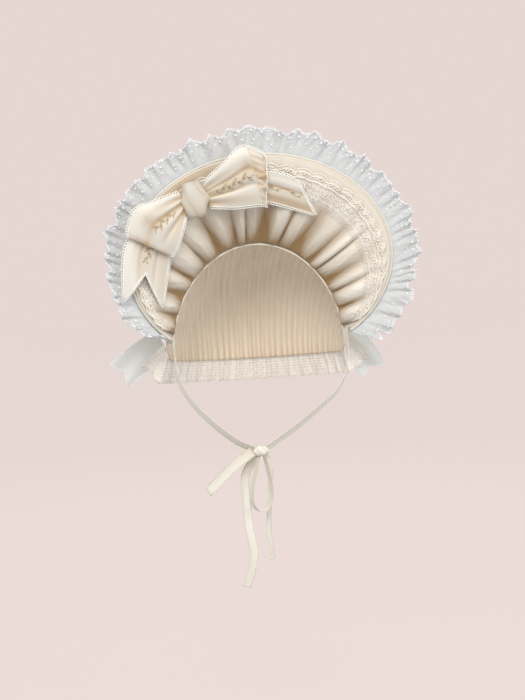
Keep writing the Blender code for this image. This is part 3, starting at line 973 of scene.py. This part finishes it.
def band_place(u, v):
    """Facing of the brim's edge, swelling between its two rows of stitches."""
    w = BAND_INNER + (BAND_OUTER - BAND_INNER) * v
    pucker = 0.10 * MM * sin(2 * pi * 190 * u) * (2 * v - 1) ** 4
    return on_brim(u, w, BRIM_WALL / 2 + 0.25 * MM + BAND_PUFF * (1 - (2 * v - 1) ** 4) * 0.8 + pucker
                   + ripple(u, v, 0.6, 0.10 * MM))


# The facing's fold_shade is painted shade: at its two stitched edges, on its inner part under the lace, and
# at the upper left near the bow.
band = lay("brim_band", 420, 10, band_place, BAND_SIZE, brim_cotton, wall=0.4 * MM,
           tone=lambda u, v: (0.40 * max(0.0, (abs(2 * v - 1) - 0.8) / 0.2) ** 2
                              + 0.35 * max(0.0, 1 - v / 0.45) + 0.55 * exp(-((u - 0.36) / 0.10) ** 2)))
piping_line = [on_brim(i / 240, 1.0, 0.1 * MM) for i in range(241)]
piping = strands("brim_piping", [piping_line], 1.5 * MM, brim_cotton, 10)

STITCH_LINE, STITCH_SPACING = 0.945, 3.4 * MM


def stitch_line(u, v):
    """Where the brim's edge is stitched, on top of its facing."""
    return on_brim(u, STITCH_LINE, BRIM_WALL / 2 + 0.95 * MM)


stitches = []
for u in walk(stitch_line, 0, STITCH_SPACING, 0.005, 0.995):
    along = (stitch_line(min(1, u + STEP), 0) - stitch_line(max(0, u - STEP), 0)).normalized()
    off = along.cross((brim_point(u, 1) - brim_point(u, 0.9)).normalized()).normalized()
    stitches.append(axes(stitch_line(u, 0), along, off.cross(along), off, (2.0 * MM, 0.6 * MM, 0.5 * MM)))
brim_stitches = scatter("brim_stitches", stitches, stitch_thread)

crown = lay("puffed_crown", 352, 56, crown_point, CROWN_SIZE, crown_cotton, ["crown"],
            CROWN_WALL, crown_painted_shade)
seam_line = [arch(i / 160) * 1.012 + Vector((0, 0.6 * MM, 0)) for i in range(161)]
crown_piping = strands("crown_piping", [seam_line], 1.6 * MM, brim_cotton, 8)

# Lining and lace

lining = lay("folded_lining", 480, 44, lining_place, LINING_SIZE, lining_lawn, ["lining"],
             LINING_WALL, lining_painted_shade)
lining_edge = [arch(0.01 + 0.98 * i / 160) * 0.985 + Vector((0, -2.2 * MM, 0)) for i in range(161)]
lining_cord = strands("lining_cord", [lining_edge], 1.1 * MM, stitch_thread, 8)


def lace_border(u, v):
    """Dense outer edge of the lace, 1, and thinner net towards its inner edge, below 0."""
    return 1.0 if v > 0.93 else -1.5 * max(0.0, 1 - v / 0.25)


# The lace's fold_shade is painted shade: the lining's shade under it and shade in the lace's fine gathers.
lace = lay("gathered_lace", 1300, 20, lace_place, LACE_SIZE, cotton_lace, ["lace_trim"],
           tone=lambda u, v: (0.28 * lining_painted_shade(u, 0.62 + 0.35 * v)
                              + 0.26 * (0.5 - 0.5 * sin(lace_wave(u))) * (1 - 0.8 * v)), border=lace_border)
border_lines = [line_on(lace_place, v, 1.6 * MM, lift=0.25 * MM, front=FRONT) for v in (0.995, 0.74)]
lace_cord = strands("lace_cord", border_lines, 0.75 * MM, lace_thread, 5)

EYELET_ROW, EYELET_SPACING, EYELET_RADIUS, EYELET_THREAD = 0.86, 4.8 * MM, 1.9 * MM, 0.68 * MM
SPRIG_ROW, SPRIG_SPACING = 0.45, 9.0 * MM
SPRIG_LEAVES = ((0.0, 1.0), (0.9, 0.8), (-0.9, 0.8), (2.0, 0.6), (-2.0, 0.6))  # turn and size

eyelets, leaves = [], []
for u in walk(lace_place, EYELET_ROW, EYELET_SPACING, 0.004, 0.996):
    point, along, across, normal = frame_at(lace_place, u, EYELET_ROW, FRONT)
    eyelets.append(ring(point + normal * 0.5 * MM, along, across, EYELET_RADIUS))
lace_eyelets = strands("lace_eyelets", eyelets, EYELET_THREAD, lace_thread, 4)
for k, u in enumerate(walk(lace_place, SPRIG_ROW, SPRIG_SPACING, 0.01, 0.99)):
    base_v = 0.40 + 0.22 * sin(2.1 * k)
    for turn, size in SPRIG_LEAVES:
        point, along, across, normal = frame_at(lace_place, u, base_v, FRONT)
        lean = across * cos(turn) + along * sin(turn)
        centre = point + lean * 3.0 * MM * size + normal * 0.3 * MM
        leaves.append(axes(centre, lean, normal.cross(lean), normal,
                           (5.0 * MM * size, 1.9 * MM, 0.8 * MM)))
lace_sprigs = scatter("lace_sprigs", leaves, lace_thread)

# Frills


def ruffle_tone(u, v):
    """Two layers of organza lie together close to the ruffle's seam."""
    return 0.8 * exp(-max(0.0, v - RUFFLE_TUCK_SHARE) * 5)


ruffle = lay("organza_ruffle", 1000, 14, ruffle_place, RUFFLE_SIZE, ruffle_organza,
             ["outer_ruffle"], tone=ruffle_tone)
ruffle_edge = picots("ruffle_picot", [(ruffle_place, 1.0, 0.0, 1.0)], RUFFLE_PICOT, white_thread)
DotRow = namedtuple("DotRow", "v spacing size")
DOT_ROWS = [DotRow(0.86, 13 * MM, 4.2 * MM), DotRow(0.62, 18 * MM, 3.4 * MM), DotRow(0.40, 25 * MM, 2.8 * MM)]
DOT_WALL = 1.4 * MM

dots = []
draw = random.Random(41)
for row in DOT_ROWS:
    for u in walk(ruffle_place, row.v, row.spacing, 0.01, 0.99):
        point, along, across, normal = frame_at(ruffle_place, min(max(u + draw.uniform(-0.002, 0.002), 0), 1),
                                                row.v + draw.uniform(-0.05, 0.05))
        dots.append(axes(point, along, across, normal, (row.size, row.size, DOT_WALL)))
ruffle_dots = scatter("ruffle_dots", dots, white_thread)


def binding_place(u, v):
    """Tape that covers the ruffle's raw edge on the brim's back."""
    off = (0.35 + 1.6 * rise(v, 0.05, 0.5) + 0.9 * (1 - (2 * v - 1) ** 4)) * MM
    return on_brim(u, 0.86 + 0.12 * v, -BRIM_WALL / 2 - off + ripple(u, v, 0.2, 0.12 * MM))


# The binding's fold_shade is painted shade towards its two edges.
binding = lay("ruffle_binding", 300, 6, binding_place, BINDING_SIZE, brim_cotton,
              wall=0.5 * MM, tone=lambda u, v: 0.3 * abs(2 * v - 1) ** 3)

nape = lay("nape_frill", 480, 12, nape_place, NAPE_SIZE, cotton_lace, ["nape_lace"],
           border=lambda u, v: 1.0 if v < 0.12 or v > 0.93 else 0.0)
nape_edge = picots("nape_picot", [(nape_place, 1.0, 0.0, 1.0)], NAPE_PICOT, lace_thread)

# Bow

# The ribbon's upper and lower edge at each section, and its distance in front of the brim
LOOP_RIGHT = [
    Section(-69.5, 182.8, -61.5, 158, 19),
    Section(-46, 203, -32, 156, 26),
    Section(-23, 222, -3, 158, 25),
    Section(4, 210, 7, 157, 20),
    Section(-30, 196, -28, 163, 16),
    Section(-68.6, 179.9, -62.5, 161, 15),
]
TAIL_RIGHT = [
    Section(-67.4, 176.1, -63.7, 164.7, 12),
    Section(-26, 190, -26, 162, 12.5),
    Section(9, 195, 7, 162, 12.5),
    Section(41, 185, 64, 145, 13),
]
LOOP_LEFT = [
    Section(-96.5, 174, -88.5, 149.2, 19),
    Section(-126, 164, -94, 131, 25),
    Section(-149, 155, -100, 114, 26),
    Section(-156, 126, -107, 103, 20),
    Section(-126, 150, -98, 124, 16),
    Section(-95.6, 171, -89.5, 152, 15),
]
TAIL_LEFT = [
    Section(-94.3, 167.3, -90.6, 155.9, 12),
    Section(-140, 138, -104, 118, 12.5),
    Section(-160, 112, -109, 95, 12.5),
    Section(-164, 56, -117, 46, 13),
]
BOW_NOTCH = 0.22
BOW_KNOT_AT = Vector((-79, 0, 166)) * MM
BOW_KNOT_OUT = 17 * MM
BOW_KNOT_SIZE = Vector((27, 15, 42)) * MM
BOW_KNOT_TILT = radians(8)
SATIN_WALL = 0.5 * MM
VINE_STEPS, VINE_SWING, VINE_CURL = 24, 0.07, 2.3


def vine(name, place, start, end, waves):
    """Embroidered scroll along a ribbon: a waved stem, a curl in each bend and small leaves."""
    lines, leaves = [[]], []
    steps = int(waves * VINE_STEPS)
    for i in range(steps + 1):
        u = start + (end - start) * i / steps
        v = 0.5 + VINE_SWING * sin(2 * pi * i / VINE_STEPS)
        point, along, across, normal = frame_at(place, u, v, FRONT)
        point += normal * 0.3 * MM
        lines[0].append(point)
        side = 1 if i // 12 % 2 else -1
        if i % 12 == 3:
            centre = point + across * side * VINE_CURL * MM
            lines.append([centre + (along * sin(0.45 * k) - across * side * cos(0.45 * k))
                          * (VINE_CURL - 0.12 * k) * MM for k in range(15)])
        if i % 12 in (0, 8):
            lean = (along - across * side * 0.7).normalized()
            leaves.append(axes(point + lean * 1.7 * MM, lean, normal.cross(lean), normal,
                               (3.4 * MM, 1.4 * MM, 0.6 * MM)))
    return [strands(name, lines, 0.36 * MM, vine_thread, 4),
            scatter(name + "_leaves", leaves, vine_thread)]


def bow_painted_shade(looped, creases, lower_shade, front_end):
    """Painted warm shade beside the knot, in the creases, on the lower half and inside a loop; a warm band
    along the middle away from the knot; and a painted peach glow where light comes through the ribbon.
    """
    def tone(u, v):
        far = min(u, 1 - u) * 2 if looped else u
        fan = 0.5 - 0.5 * sin(fan_turn(v))
        inside = 0.32 * rise(u, front_end, front_end + 0.03) if looped else 0.0
        inside += lower_shade * rise(v, 0.35, 0.95) + 0.06
        creased_in = sum(exp(-((v - crease.middle) / crease.width) ** 2) for crease in creases
                         if crease.height < 0)
        # The glow term is a painted peach glow of light coming through the satin; band is a warm band along
        # the middle away from the knot.
        band = 0.34 * exp(-((v - 0.42) / 0.11) ** 2) * rise(far, 0.15, 0.45)
        glow_at = 0.78 if looped else 0.45
        painted_glow = 0.42 * exp(-((far - glow_at) / 0.13) ** 2) * exp(-((v - 0.27) / 0.12) ** 2)
        return min(1.0, 0.7 * fan * (1 - far) ** 1.5 + inside + 0.3 * exp(-far * 9)
                   + 0.7 * creased_in * (1 - far) ** 0.5 + band + painted_glow)
    return tone


LOOP_CREASES_RIGHT = [Crease(0.17, 0.12, 1.6), Crease(0.36, 0.05, -2.8), Crease(0.50, 0.07, 1.0),
                      Crease(0.63, 0.045, -2.6), Crease(0.83, 0.12, 2.0)]
LOOP_CREASES_LEFT = [Crease(0.20, 0.13, 1.8), Crease(0.42, 0.05, -1.6), Crease(0.60, 0.06, 1.2),
                     Crease(0.74, 0.045, -2.6), Crease(0.88, 0.08, 1.4)]
TAIL_CREASES_RIGHT = [Crease(0.25, 0.10, 1.0), Crease(0.45, 0.05, -1.2), Crease(0.75, 0.1, 0.8)]
TAIL_CREASES_LEFT = [Crease(0.16, 0.10, 1.2), Crease(0.34, 0.04, -1.8), Crease(0.52, 0.08, 1.2),
                     Crease(0.70, 0.04, -1.8), Crease(0.86, 0.08, 1.0)]

LOOP_FRONT_END_RIGHT = 0.425
bow_loop_right = creased(bow_ribbon(LOOP_RIGHT), True, LOOP_CREASES_RIGHT, LOOP_FRONT_END_RIGHT)
bow_loop_left = creased(bow_ribbon(LOOP_LEFT), True, LOOP_CREASES_LEFT)
bow_tail_right = creased(bow_ribbon(TAIL_RIGHT), False, TAIL_CREASES_RIGHT)
bow_tail_left = creased(notched(bow_ribbon(TAIL_LEFT), BOW_NOTCH), False, TAIL_CREASES_LEFT)

# The last column is the strength of the painted shade on each ribbon's lower half.
for name, node, place, creases, front_end, columns, vine_ends, length, lower_shade in (
        ("loop_right", "bow_loop_right", bow_loop_right, LOOP_CREASES_RIGHT, LOOP_FRONT_END_RIGHT, 180,
         (0.10, 0.40, 3.5), 0.17, 0.14),
        ("loop_left", "bow_loop_left", bow_loop_left, LOOP_CREASES_LEFT, 0.52, 140,
         (0.12, 0.42, 3.0), 0.14, 0.12),
        ("ribbon_end_right", "bow_tail_right", bow_tail_right, TAIL_CREASES_RIGHT, None, 90,
         (0.52, 0.94, 2.5), 0.09, 0.75),
        ("ribbon_end_left", "bow_tail_left", bow_tail_left, TAIL_CREASES_LEFT, None, 90,
         (0.38, 0.80, 3.0), 0.114, 0.25)):
    looped = front_end is not None
    ribbon = lay(name, columns, 40, place, (BOW_WIDTH, length), bow_satin, [node], SATIN_WALL,
                 bow_painted_shade(looped, creases, lower_shade, front_end))
    # The right loop's far half lies behind its front, so its edges end where they go out of sight
    last = 0.60 if node == "bow_loop_right" else 0.97
    edges = [(place, 0.0, 0.03, last), (place, 1.0, 0.03, last)]
    if node == "bow_loop_right":
        edges.append((lambda u, v: bow_loop_right(0.50 + 0.08 * v, u), 1.0, 0.03, 0.98))
    if not looped:
        edges.append((lambda u, v, place=place: place(0.90 + 0.1 * v, u), 1.0, 0.02, 0.98))
    trims = picots(name + "_picot", edges, BOW_PICOT, picot_thread)
    trims += vine(name + "_vine", place, *vine_ends)


def knot(name, centre, size, tilt, material, node, folds):
    """Ribbon wrapped round the bow's middle, its folds running round it, with painted shade in its folds, on
    its lower half and at its sides.
    """
    mesh = bmesh.new()
    bmesh.ops.create_cube(mesh, size=1)
    bmesh.ops.subdivide_edges(mesh, edges=mesh.edges[:], cuts=23, use_grid_fill=True)
    shades = []
    for vertex in mesh.verts:
        x, y, z = vertex.co
        crease = abs(sin(pi * (folds * x + 0.7 * z + 0.42))) ** 0.5
        # Painted shade in the folds, on the lower half and towards the sides.
        shades.append(0.55 * (1 - crease) ** 1.2 + 0.35 * max(0.0, -2 * z) ** 2 + 0.25 * abs(2 * x) ** 4)
        ear = (0.26 if x > 0 else 0.12) * exp(-((z + 0.02) / 0.15) ** 2)
        vertex.co = (x * (1.06 + ear - 0.26 * abs(2 * z) ** 1.6) * size.x,
                     y * (1 - 0.62 * abs(2 * z) ** 2.4) ** 0.5 * (1.08 - 0.34 * abs(2 * x) ** 3)
                     * (0.90 + 0.14 * crease) * size.y,
                     z * (1 - 0.9 * y * y) ** 0.5 * (1 - 0.10 * abs(2 * x) ** 3) * size.z)
    bmesh.ops.transform(mesh, matrix=Matrix.Translation(centre) @ Matrix.Rotation(-tilt, 4, "Y"),
                        verts=mesh.verts[:])
    points = [v.co.copy() for v in mesh.verts]
    faces = [[v.index for v in face.verts] for face in mesh.faces]
    mesh.free()
    piece = keep(name, points, faces, material, [node])
    spots = piece.data.uv_layers.new(name="cloth")
    for loop, corner in zip(piece.data.loops, spots.data):
        co = piece.data.vertices[loop.vertex_index].co - centre
        corner.uv = (co.z, co.x + co.y)
    layer = piece.data.attributes.new("fold_shade", "FLOAT", "POINT")
    layer.data.foreach_set("value", shades)
    return piece


knot_at = BOW_KNOT_AT.copy()
knot_at.y = brim_depth(knot_at.x, knot_at.z) - BOW_KNOT_OUT
knot("wrapped_knot", knot_at, BOW_KNOT_SIZE, BOW_KNOT_TILT, knot_satin, "bow_knot", 1.5)

# Sheer ribbon ends and chin ties

SHEER_WIDTH, SHEER_ROOT, SHEER_NOTCH = 36 * MM, 0.4, 0.14
SHEER_LEFT = [(-112.4, 27, -3), (-126, 28, -9), (-147, 28, -22), (-168, 28, -38)]
SHEER_RIGHT = [(115.2, 27, -3), (124, 28, -14), (137, 28, -32), (146, 28, -50)]
STRAP_LEFT = [(-104, -24, -36), (-92, -46, -66), (-70, -70, -92), (-46, -84, -112), (-27.8, -91.5, -121)]
STRAP_RIGHT = [(102, -24, -36), (84, -48, -62), (58, -68, -79), (28, -82, -98), (-12.2, -91.5, -121)]
LOOP_SIDE = [(-30, -98.5, -123), (-52, -103, -137), (-80, -103, -162), (-83, -100, -165),
             (-80, -97, -162), (-52, -96, -137), (-30, -95.5, -123)]
LOOP_FRONT = [(-16, -97, -130), (-11, -100, -160), (-12, -102, -180), (-22, -102, -192),
              (-32, -102, -184), (-33, -101, -166), (-23, -97, -130)]
TIE_TAIL_LEFT = [(-24.5, -90.5, -127.6), (-38, -88, -151), (-38, -88, -181), (-36, -88, -212),
                 (-32, -88, -246), (-42, -88, -280)]
TIE_TAIL_RIGHT = [(-15.2, -90.5, -127.6), (-8, -87, -145), (-11, -87, -180), (-13, -87, -215),
                  (-11, -87, -235), (-10, -87, -250)]
TIE_KNOT_AT = Vector((-20, -94, -123)) * MM
TIE_KNOT_SIZE = Vector((16, 9, 12)) * MM
LOOP_SIDE_ACROSS = Vector((-0.57, 0, 0.82))
LOOP_FRONT_ACROSS = Vector((0.3, -1, 0))


def wavy(place, depth, waves):
    """The ribbon with soft waves along its length."""
    return lambda u, v: place(u, v) + Vector((0, depth * sin(2 * pi * waves * v + 3 * u) * u, 0))


for side, points, length in (("left", SHEER_LEFT, 0.064), ("right", SHEER_RIGHT, 0.055)):
    line = route(points)
    place = notched(flat_ribbon(line, across_hanging(line), SHEER_WIDTH, SHEER_ROOT), SHEER_NOTCH)
    place = wavy(place, 2.2 * MM, 1.4)
    sheer = lay("sheer_end_" + side, 40, 24, place, (SHEER_FLAT_WIDTH, length), tail_organza,
                ["sheer_tail_" + side], tone=lambda u, v: 0.7 * exp(-u * 5))
    hems = strands("sheer_hem_" + side, [line_on(place, v, 3 * MM) for v in (0.0, 1.0)]
                   + [[place(1.0, k / 24) for k in range(25)]], 0.35 * MM, white_thread, 5)

ties = [("strap_left", "tie_left", strap_place(-1, route(STRAP_LEFT)), 0.194, "hung"),
        ("strap_right", "tie_right", strap_place(1, route(STRAP_RIGHT)), 0.22, "hung")]
for name, node, points, across, length in (
        ("chin_loop_side", "tie_loop_left", LOOP_SIDE, LOOP_SIDE_ACROSS, 0.148),
        ("chin_loop_front", "tie_loop_front", LOOP_FRONT, LOOP_FRONT_ACROSS, 0.143)):
    ties.append((name, node, flat_ribbon(route(points), [across] * len(points), TIE_WIDTH), length, "folded"))
for name, node, points, turned, length in (
        ("chin_tail_left", "tie_tail_left", TIE_TAIL_LEFT, radians(12), 0.168),
        ("chin_tail_right", "tie_tail_right", TIE_TAIL_RIGHT, radians(50), 0.133)):
    line = route(points)
    across = [Matrix.Rotation(turned, 3, "Z") @ step for step in across_hanging(line)]
    ties.append((name, node, flat_ribbon(line, across, TIE_WIDTH, cup=0.8 * MM), length, "hung"))


def tie_painted_shade(u, v):
    """Painted warm shade along a tie's edges, at its root and in slow bands."""
    return 0.30 * abs(2 * v - 1) ** 8 + 0.4 * exp(-u * 14) + 0.25 * (0.5 + 0.5 * sin(9 * u)) * v


for name, node, place, length, held in ties:
    tie = lay(name, 110, 8, place, (TIE_WIDTH, length), tie_satin, [node], SATIN_WALL, tie_painted_shade)
    ribs = strands(name + "_selvedge", [line_on(place, v, 2.5 * MM) for v in (0.0, 1.0)], 0.42 * MM,
                   stitch_thread, 6)
knot("chin_knot", TIE_KNOT_AT, TIE_KNOT_SIZE, 0, tie_satin, "tie_knot", 2.0)
